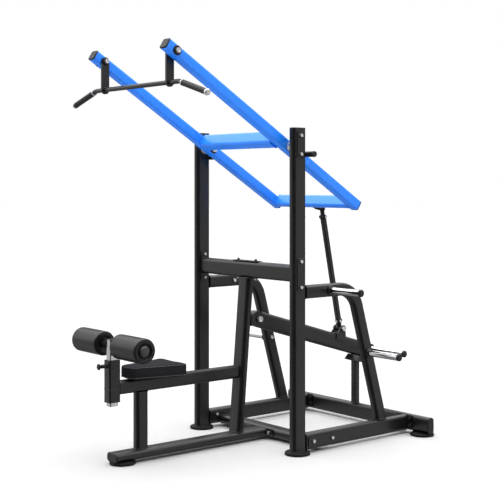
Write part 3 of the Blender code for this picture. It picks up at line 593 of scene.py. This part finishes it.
lathed("pop_pin_barrel", [(0.0056, 0.0), (0.0118, 0.0), (0.0118, 0.0030), (0.0105, 0.0042), (0.0105, 0.0240),
                          (0.0098, 0.0250), (0.0098, 0.0258), (0.0106, 0.0268), (0.0106, 0.0322),
                          (0.0097, 0.0334), (0.0056, 0.0334)], knob_at, -Y, BLACK_OXIDE, "frame", 48,
       smooth=0.6)
bm = bmesh.new()
weld(bm, square_loop((0.0594, 0.0704, 0.009), (0, SLEEVE_Y, 0.4095), X, Y), 0.0023)
made("sleeve_seam", bm, BLACK, "frame", smooth=1.2)

# ---------------------------------------------------------------- rubber feet
for tag, x, y in (("front", 0, -0.863), ("middle_left", -POST_X, 0), ("middle_right", POST_X, 0),
                  ("rear_left", -0.557, REAR_Y), ("rear_right", 0.557, REAR_Y)):
    lathed("foot_pad_" + tag, [(0, 0.0008), (0.0540, 0.0008), (0.0550, 0), (0.0692, 0), (0.0706, 0.0010),
                               (0.0710, 0.0028), (0.0710, 0.0090), (0.0704, 0.0096), (0.0704, 0.0106),
                               (0.0708, 0.0112), (0.0700, 0.0135), (0.0682, 0.0154), (0.0655, 0.0164),
                               (0.0620, 0.0167), (0, 0.0167)], (x, y, 0), Z, RUBBER, "frame", 72, smooth=0.7,
           replaces=("foot_" + tag,))

# ---------------------------------------------------------------- plastic plugs in tube ends
end_cap("front_beam_plug", (0, BEAM_FRONT, BEAM_Z), -Y, X, Z, MAIN_TUBE_FLAT, "frame", thick=0.0075,
        replaces=("front_beam_cap",))
for side, sign in SIDES:
    out = X * sign
    end_cap("rear_beam_plug_" + side, (sign * 0.6223, REAR_Y, RAIL_Z), out, Y, Z, MAIN_TUBE, "frame",
            thick=0.0055, replaces=("rear_beam_cap_" + side,))
    end_cap("post_plug_" + side, (sign * POST_X, 0, POST_TOP - 0.0037), Z, X, Y, MAIN_TUBE, "frame",
            thick=0.0060, lip=0.0002, replaces=("post_cap_" + side,))
    middle = ARM_PIVOT + out * (ARM_IN + ARM_OUT) / 2
    end_cap("arm_front_plug_" + side, middle - ARM_ALONG * (ARM_FRONT + GAP), -ARM_ALONG, X, ARM_ACROSS,
            ARM_TUBE, "arm_frame", thick=0.0080, lip=0.0002)
    end_cap("arm_rear_plug_" + side, middle + ARM_ALONG * (ARM_REAR + GAP), ARM_ALONG, X, ARM_ACROSS,
            ARM_TUBE, "arm_frame", thick=0.0090, lip=0.0006)
lever_length = (LEVER_BACK - LEVER_PIVOT.y - LEVER_HALF * sin(LEVER_SLOPE)) / cos(LEVER_SLOPE)
end_cap("lever_plug", LEVER_PIVOT + LEVER_ALONG * (lever_length + GAP), LEVER_ALONG, X, LEVER_ACROSS,
        MAIN_TUBE, "weight_lever", thick=0.0050, lip=0.0004)

# ---------------------------------------------------------------- pull bar
for side, sign in SIDES:
    mirror = Matrix.Diagonal((sign, 1, 1))
    tip, bend = mirror @ BAR_TIP, mirror @ BAR_BEND
    inward = (bend - tip).normalized()
    grip = [(0.0133, 0.010), (0.0150, 0.0102), (0.0163, 0.0116)]
    for k in range(67):
        rib = k * 0.003
        grip += [(0.0164, 0.0126 + rib), (0.0164, 0.0142 + rib), (0.0160, 0.0148 + rib),
                 (0.0160, 0.0150 + rib)]
    grip += [(0.0163, 0.2150), (0.0150, 0.2166), (0.0133, 0.2168)]
    lathed("bar_grip_" + side, grip, tip, inward, GRIP, "pull_bar", 48, smooth=0.7,
           replaces=("grip_" + side,))
    lathed("grip_collar_" + side, [(0.0131, 0.2170), (0.0168, 0.2170), (0.0174, 0.2178), (0.0174, 0.2238),
                                   (0.0168, 0.2248), (0.0131, 0.2250)], tip, inward, ZINC, "pull_bar", 48,
           smooth=0.5)
    lathed("grip_end_" + side, [(0.0131, 0.0100), (0.0170, 0.0100), (0.0176, 0.0090), (0.0176, 0.0022),
                                (0.0165, -0.0010), (0.0135, -0.0038), (0.0080, -0.0056), (0, -0.0060)],
           tip, inward, ZINC, "pull_bar", 48, smooth=0.9)

# ---------------------------------------------------------------- stop pegs and hinge hardware on the arms
for side, sign in SIDES:
    out = X * sign
    lathed("stop_peg_sleeve_" + side, [(0.0150, GAP), (0.0158, GAP), (0.0160, 0.0020), (0.0160, 0.1190),
                                       (0.0150, 0.1190)],
           STOP_PEG + out * ARM_OUT, out, PLASTIC, "arm_frame", 40, smooth=0.6)
    lathed("stop_peg_end_" + side, [(0.0150, 0.1190), (0.0166, 0.1190), (0.0168, 0.1202), (0.0168, 0.1320),
                                    (0.0158, 0.1342), (0.0100, 0.1350), (0, 0.1352)],
           STOP_PEG + out * ARM_OUT, out, BLACK_OXIDE, "arm_frame", 40, smooth=0.7)
    lathed("hanger_washer_" + side, [(0, 0.0002), (0.0255, 0.0002), (0.0260, 0.0008), (0.0260, 0.0032),
                                     (0.0250, 0.0040), (0, 0.0040)],
           HANGER_PIVOT + out * ARM_OUT, out, PLASTIC, "arm_frame", 56, smooth=0.6)
    lathed("hanger_collar_" + side, [(0.0083, GAP), (0.0170, GAP), (0.0176, 0.0009), (0.0176, 0.0064),
                                     (0.0168, 0.0078), (0, 0.0080)],
           HANGER_PIVOT + out * (ARM_IN - 0.0134), -out, PLASTIC, "arm_frame", 48, smooth=0.6)

# ---------------------------------------------------------------- plates that the bolts pull against
def flat_plate(name, size, at, out, side, up, levels):
    """A steel plate. levels holds (distance along out, share of the full outline) pairs."""
    bm = bmesh.new()
    outline = box_outline(*size)
    loft(bm, [placed([(u * share, v * share) for u, v in outline], at, side, up, out * rise)
              for rise, share in levels])
    made(name, bm, BLACK, "frame", smooth=0.5)


for side, sign in SIDES:
    flat_plate("upper_backing_plate_" + side, (0.049, 0.180, 0.006), (0, 0, 1.0), X * sign, Y, Z,
               ((POST_OUT + GAP, 1.0), (0.4705, 1.0), (PLATE_OUT, 0.99)))
flat_plate("column_top_plate", (0.230, 0.044, 0.006), (0, 0, 0), Z, X, Y,
           ((1.0513, 1.0), (1.0540, 1.0), (1.0545, 0.99)))
for side, sign in SIDES:
    lathed("column_stud_" + side, [(0, 1.0540), (0.0085, 1.0540), (0.0085, 1.0600), (0.0075, 1.0612),
                                   (0.0045, 1.0614), (0.0045, 1.0660), (0.0035, 1.0668), (0, 1.0670)],
           (sign * 0.080, 0, 0), Z, BLACK_OXIDE, "frame", 32, smooth=0.6)

# ---------------------------------------------------------------- bolts
# Each is (point, axis, size), with True after them for a nut
frame_bolts, rail_bolts, arm_bolts, lever_bolts = [], [], [], []
for side, sign in SIDES:
    out = X * sign
    outer, inner = out * PLATE_OUT, out * FLANGE_IN
    for y in (0.094, 0.237):
        frame_bolts += [(outer + Vector((0, y, RAIL_Z)), out, 0.011),
                        (inner + Vector((0, y, 0.078)), -out, 0.010, True)]
    for z in (1.072, 0.929):
        frame_bolts += [(outer + Z * z, out, 0.011), (inner + Z * z, -out, 0.010, True)]
    frame_bolts += [(outer + Z * z, out, 0.011) for z in (1.770, 1.666)]
    for x in (-0.046, 0.046):
        for z in (0.052, 0.095):
            rail_bolts += [(out * POST_X + Vector((x, 0.8647, z)), -Y, 0.010),
                           (out * POST_X + Vector((x, 0.9212, z)), Y, 0.010, True)]
    frame_bolts += [(out * 0.066 + Vector((0, 0.1107, 0.0415)), -Y, 0.011),
                    (out * 0.066 + Vector((0, 0.2132, 0.0415)), Y, 0.010, True),
                    (out * 0.080 + Z * 0.9548, -Z, 0.010, True),
                    (LEVER_PIVOT + out * 0.033, out, 0.020)]
    frame_bolts += [(out * (POST_IN - 0.0002) + Vector((0, y, z)), -out, 0.013) for _, y, z in STORE_HORNS]
    arm_bolts += [(HANGER_PIVOT + out * (ARM_OUT + 0.004), out, 0.016),
                  (HANGER_PIVOT + out * (ARM_IN - 0.0213), -out, 0.014),
                  (ROD_TOP + out * 0.0214, out, 0.010),
                  (ARM_PIVOT + out * (ARM_IN - 0.0002), -out, 0.020)]
    lever_bolts += [(ROD_FOOT + out * 0.0317, out, 0.018)]
steel_bolts = bolts("frame_bolts", "frame", frame_bolts)
bolts("rail_bolts", "frame", rail_bolts, BLACK_OXIDE)
bolts("arm_bolts", "arm_frame", arm_bolts)
bolts("lever_bolts", "weight_lever", lever_bolts)
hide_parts("lever_bolt")

# ---------------------------------------------------------------- welds
frame_welds = [(square_loop(SMALL_TUBE, (0, -0.748, 0.0675), X, Y), 0.0026),
               (square_loop(SMALL_TUBE, (0, -0.748, 0.3745), X, Y), 0.0026),
               (square_loop(MAIN_TUBE_FLAT, (0, -0.082, 0.0676), X, Y), 0.0028),
               (square_loop(MAIN_TUBE_FLAT, (0, -0.007, 0.9545), X, Y), 0.0028),
               (square_loop((0.040, 0.040, 0.006), (0, 0.888, 0.1136), X, Y), 0.0024),
               (square_loop(SMALL_TUBE, (0, -0.0795, SEAT_BEAM_Z), X, Z), 0.0026),
               (square_loop(SMALL_TUBE, (0, -0.8985, SEAT_BEAM_Z), X, Z), 0.0024),
               (square_loop(MAIN_TUBE_FLAT, (0, 0.1100, BEAM_Z), X, Z), 0.0024)]
arm_welds = []
for side, sign in SIDES:
    post, flange = sign * POST_X, sign * (FLANGE_IN - GAP)
    frame_welds += [(square_loop((0.050, 0.0785, 0.017), (post, 0.655, 0.1136), X, Y), 0.0028),
                    (square_loop(SMALL_TUBE, (post, 0.0486, 0.8985), X, Z), 0.0028),
                    (square_loop(MAIN_TUBE, (flange, 0, UPPER_BEAM_Z), Y, Z), 0.0026),
                    (square_loop(MAIN_TUBE_FLAT, (flange, 0.165, BEAM_Z), Y, Z), 0.0024),
                    (square_loop(MAIN_TUBE, (post, 0.8645, RAIL_Z), X, Z), 0.0024),
                    (square_loop(MAIN_TUBE, (post, 0, 0.0174), X, Y), 0.0022)]
    for size, at, bead in ((FRONT_BAR, FRONT_BAR_AT, 0.0026), (REAR_BAR, REAR_BAR_AT, 0.0024)):
        arm_welds += [(square_loop(size, at + X * sign * 0.3195, ARM_ALONG, ARM_ACROSS), bead)]
welds("frame_welds", "frame", frame_welds)
welds("arm_welds", "arm_frame", arm_welds, BLUE)
welds("bar_welds", "pull_bar", [(circle_loop(0.0133, (sign * x, BAR_BEND.y, BAR_BEND.z), X), 0.0020)
                                for side, sign in SIDES for x in (0.3196, 0.3064)])

# ---------------------------------------------------------------- rod ends
rod_along = (ROD_FOOT - ROD_TOP).normalized()
rod_back = X.cross(rod_along)
rod_face = 0.0151
low_bolt = ROD_FOOT - rod_along * 0.048
bm = bmesh.new()
add_bolt(bm, low_bolt + X * rod_face, X)
add_bolt(bm, low_bolt - rod_back * rod_face, -rod_back)
add_bolt(bm, low_bolt - X * rod_face, -X, nut=True)
made("rod_bolts", bm, ZINC, "link_rod", smooth=0.5, extra=(BLACK_OXIDE,))
bm = bmesh.new()
for place in (low_bolt, ROD_TOP + rod_along * 0.004):
    lathe(bm, [(0, -0.002), (0.0118, -0.002), (0.0118, 0.0024), (0.0105, 0.0032), (0.0105, 0.0090),
               (0.0090, 0.0110), (0, 0.0116)], place + rod_back * rod_face, rod_back, 32)
made("rod_lock_nuts", bm, BLACK_OXIDE, "link_rod", smooth=0.5)
lathed("rod_pin_sleeve", [(0.0119, -0.0235), (0.0150, -0.0235), (0.0156, -0.0228), (0.0156, 0.0228),
                          (0.0150, 0.0235), (0.0119, 0.0235)],
       ROD_FOOT, X, BLACK_OXIDE, "link_rod", 48, smooth=0.5)
lathed("rod_collar", [(0.0143, 0), (0.0172, 0), (0.0178, 0.0008), (0.0178, 0.0070), (0.0172, 0.0078),
                      (0.0143, 0.0078)],
       ROD_FOOT - rod_along * 0.037, rod_along, BLACK_OXIDE, "link_rod", 48, smooth=0.5)

along = (ROD_FOOT - LEVER_PIVOT).dot(LEVER_ALONG)
clevis_at = LEVER_PIVOT + LEVER_ALONG * along + LEVER_ACROSS * (LEVER_HALF + 0.0002)
clevis_foot = square_loop((0.060, 0.076, 0.002), clevis_at, X, LEVER_ALONG)
welds("lever_welds", "weight_lever", [(clevis_foot, 0.0022)])


# ---------------------------------------------------------------- seat cushion
def seat_outline(inset, steps=10):
    """The seat from above: narrow at its front, wide at its back, drawn in all round by the inset."""
    front, back = 0.064 - inset, 0.137 - inset
    low, high = SEAT_FRONT + inset, SEAT_BACK - inset
    corners = [Vector(c) for c in ((-front, low), (front, low), (back, high), (-back, high))]
    radii = [max(0.035 - inset, 0.006)] * 2 + [max(0.030 - inset, 0.006)] * 2
    return rounded(corners, radii, steps)


def seat_body():
    """The cushion before it swells, as (inset, height) layers from its base to its top panel."""
    bm = bmesh.new()
    layers = ((0.006, SEAT_LOW), (0.003, SEAT_LOW + 0.003), (0.002, SEAT_LOW + 0.02),
              (0.002, SEAT_TOP - 0.010), (0.0035, SEAT_TOP - 0.0070), (0.009, SEAT_TOP - 0.0045),
              (0.020, SEAT_TOP - 0.0035), (0.045, SEAT_TOP - 0.0030))
    loft(bm, [[Vector((x, y, z)) for x, y in seat_outline(inset)] for inset, z in layers])
    return bm


cushion = made("seat_cushion_cover", seat_body(), VINYL, "frame", smooth=0, replaces=("seat_cushion",))
cushion.data.remesh_voxel_size = 0.0045
with bpy.context.temp_override(object=cushion, active_object=cushion, selected_objects=[cushion]):
    bpy.ops.object.voxel_remesh()
start = [v.co.copy() for v in cushion.data.vertices]
held = cushion.vertex_groups.new(name="held")
for v in cushion.data.vertices:
    if v.co.z < SEAT_LOW + 0.006:
        held.add([v.index], 1.0, "REPLACE")
# How much of the swelling is kept, the furthest that a point may move, and how long the cloth settles
CLOTH_SHARE, CLOTH_LIMIT, LAST_FRAME = 0.35, 0.0022, 20
cloth = cushion.modifiers.new("Cloth", "CLOTH")
cloth.settings.quality = 5
cloth.settings.mass = 0.3
cloth.settings.use_pressure = True
cloth.settings.uniform_pressure_force = 4
cloth.settings.tension_stiffness = cloth.settings.compression_stiffness = 25
cloth.settings.bending_stiffness = 2
cloth.settings.effector_weights.gravity = 0
cloth.settings.vertex_group_mass = "held"
cloth.point_cache.frame_start, cloth.point_cache.frame_end = 1, LAST_FRAME
for step in range(1, LAST_FRAME + 1):
    bpy.context.scene.frame_set(step)
graph = bpy.context.evaluated_depsgraph_get()
swollen = [v.co.copy() for v in cushion.evaluated_get(graph).data.vertices]
cushion.modifiers.remove(cloth)
for v, before, after in zip(cushion.data.vertices, start, swollen):
    move = after - before
    v.co = before + move.normalized() * min(CLOTH_SHARE * move.length, CLOTH_LIMIT)
bpy.context.scene.frame_set(1)
cushion.vertex_groups.clear()

bm = bmesh.new()
bm.from_mesh(cushion.data)
for _ in range(3):
    bmesh.ops.smooth_vert(bm, verts=bm.verts, factor=0.5, use_axis_x=True, use_axis_y=True, use_axis_z=True)
bm.to_mesh(cushion.data)
bm.free()
# The top welt pulls the cover in along a line just inside the rim, and the cover puckers there a little
rim_z = SEAT_TOP - 0.0085
for v in cushion.data.vertices:
    if v.co.z > SEAT_LOW + 0.008:
        pull = max(0.0, 1 - abs(v.co.z - rim_z) / 0.004)
        inward = (Vector((0, SEAT_MIDDLE_Y, v.co.z)) - v.co).normalized()
        v.co += inward * 0.0012 * pull
    v.co.z = min(v.co.z, SEAT_TOP + 0.006)
    ripple = noise.noise(v.co * 26) * 0.0006 + noise.noise(v.co * 70) * 0.00025
    v.co.z += ripple if v.co.z > SEAT_LOW + 0.03 else 0
divide = cushion.modifiers.new("Subdivision", "SUBSURF")
divide.levels = divide.render_levels = 1
cushion.data.shade_smooth()

bpy.context.view_layer.update()
graph = bpy.context.evaluated_depsgraph_get()
skin = BVHTree.FromObject(cushion, graph)


def piping(name, height, radius, sink):
    """A sewn welt that follows the cushion's own surface at a height, sunk a little into it."""
    outline = seat_outline(-0.05, 24)
    outside = []
    for i, a in enumerate(outline):
        b = outline[(i + 1) % len(outline)]
        steps = max(1, int((b - a).length / 0.006))
        outside += [a.lerp(b, k / steps) for k in range(steps)]
    path = []
    for x, y in outside:
        origin = Vector((x, y, height))
        target = Vector((x * 0.3, (y - SEAT_MIDDLE_Y) * 0.3 + SEAT_MIDDLE_Y, height))
        inward = (target - origin).normalized()
        hit = skin.ray_cast(origin, inward)
        if hit[0]:
            path.append(hit[0] - inward * (radius - sink))
    rings = []
    count = len(path)
    for i, point in enumerate(path):
        along = (path[(i + 1) % count] - path[i - 1]).normalized()
        side = along.cross(Z).normalized()
        swell = radius * (1 + 0.03 * noise.noise(point * 120))
        rings.append([point + (side * cos(2 * pi * k / 10) + Z * sin(2 * pi * k / 10)) * swell
                      for k in range(10)])
    bm = bmesh.new()
    loft(bm, rings, closed=True)
    return made(name, bm, PIPING_WITH_PAINTED_HIGHLIGHT, "frame", smooth=1.4)


piping("seat_welt_bottom", SEAT_LOW + 0.0035, 0.0021, 0.0010)
piping("seat_welt_top", SEAT_TOP - 0.0088, 0.0014, 0.0010)

# ---------------------------------------------------------------- stage, light and camera
bm = bmesh.new()
bmesh.ops.create_grid(bm, x_segments=2, y_segments=2, size=60)
mesh = bpy.data.meshes.new("floor")
bm.to_mesh(mesh)
bm.free()
floor_paint = Paint("Pale floor", Specular_IOR_Level=0.0)
cloud = floor_paint.noise(0.6, 3)
floor_paint.colour(floor_paint.mix(cloud, (0.455, 0.455, 0.455), (0.475, 0.475, 0.475)))
floor_paint.rough(floor_paint.span(cloud, 0.75, 0.85))
mesh.materials.append(floor_paint.mat)
floor = bpy.data.objects.new("floor", mesh)
bpy.context.scene.collection.objects.link(floor)
floor.visible_glossy = False

# A white studio, brightest overhead, with two soft lights in opposite corners, one above the second of
# them, a faint one below, and a dark corner. The camera sees it as plain white.
world = bpy.data.worlds.new("Studio")
bpy.context.scene.world = world
world.use_nodes = True
tree = world.node_tree
sky = tree.nodes["Background"]


def world_node(kind, **settings):
    made = tree.nodes.new(kind)
    for key, value in settings.items():
        setattr(made, key, value)
    return made


def world_value(value, socket):
    """Link a socket, or set a number."""
    if isinstance(value, bpy.types.NodeSocket):
        tree.links.new(value, socket)
    else:
        socket.default_value = value


def world_maths(operation, a, b=0.0):
    made = world_node("ShaderNodeMath", operation=operation)
    world_value(a, made.inputs[0])
    world_value(b, made.inputs[1])
    return made.outputs[0]


def lobe(direction, narrow, wide, inner, outer):
    """A value that runs smoothly from inner, near a direction, to outer, away from it.

    narrow and wide are the angles from the direction at which the change starts and ends.
    """
    made = world_node("ShaderNodeVectorMath", operation="DOT_PRODUCT")
    tree.links.new(heading, made.inputs[0])
    made.inputs[1].default_value = Vector(direction).normalized()
    span = world_node("ShaderNodeMapRange", interpolation_type="SMOOTHSTEP")
    for key, value in (("From Min", cos(wide)), ("From Max", cos(narrow)), ("To Min", outer),
                       ("To Max", inner)):
        span.inputs[key].default_value = value
    tree.links.new(made.outputs["Value"], span.inputs["Value"])
    return span.outputs["Result"]


heading = world_node("ShaderNodeTexCoord").outputs["Generated"]
overhead = lobe((0, 0, 1), 0.72, 1.24, 3.3, 0.13)
sides = world_maths("ADD", lobe((0.772, 0.635, -0.1), 0.25, 0.80, 0.50, 0),
                    lobe((-0.772, -0.635, -0.1), 0.25, 0.80, 0.44, 0))
high_and_low = world_maths("ADD", lobe((-0.772, -0.511, 0.374), 0.10, 0.42, 1.3, 0),
                           lobe((0, 0, -1), 0.4, 1.6, 0.20, 0.04))
corners = world_maths("ADD", sides, high_and_low)
dark_corner = lobe((0.772, -0.635, -0.1), 0.62, 1.15, 0.02, 1.0)
glow = world_maths("MULTIPLY", world_maths("ADD", overhead, corners), dark_corner)
seen = world_node("ShaderNodeLightPath").outputs["Is Camera Ray"]
tree.links.new(world_maths("MAXIMUM", glow, seen), sky.inputs["Strength"])
sky.inputs["Color"].default_value = (1, 1, 1, 1)

light = bpy.data.lights.new("Top", "AREA")
light.energy, light.size = 60, 3.0
lamp = bpy.data.objects.new("Top", light)
lamp.location = (0.5, 0.2, 6.0)
lamp.rotation_euler = (-lamp.location).to_track_quat("-Z", "Y").to_euler()
bpy.context.scene.collection.objects.link(lamp)

lens = bpy.data.cameras.new("Camera")
lens.lens, lens.sensor_width, lens.shift_y = 80.97, 36, -0.1316
camera = bpy.data.objects.new("Camera", lens)
camera.location = (5.095, -4.170, 1.5)
camera.rotation_euler = (pi / 2, 0, 50.554 * pi / 180)
bpy.context.scene.collection.objects.link(camera)
bpy.context.scene.camera = camera
bpy.context.scene.view_settings.view_transform = "Standard"
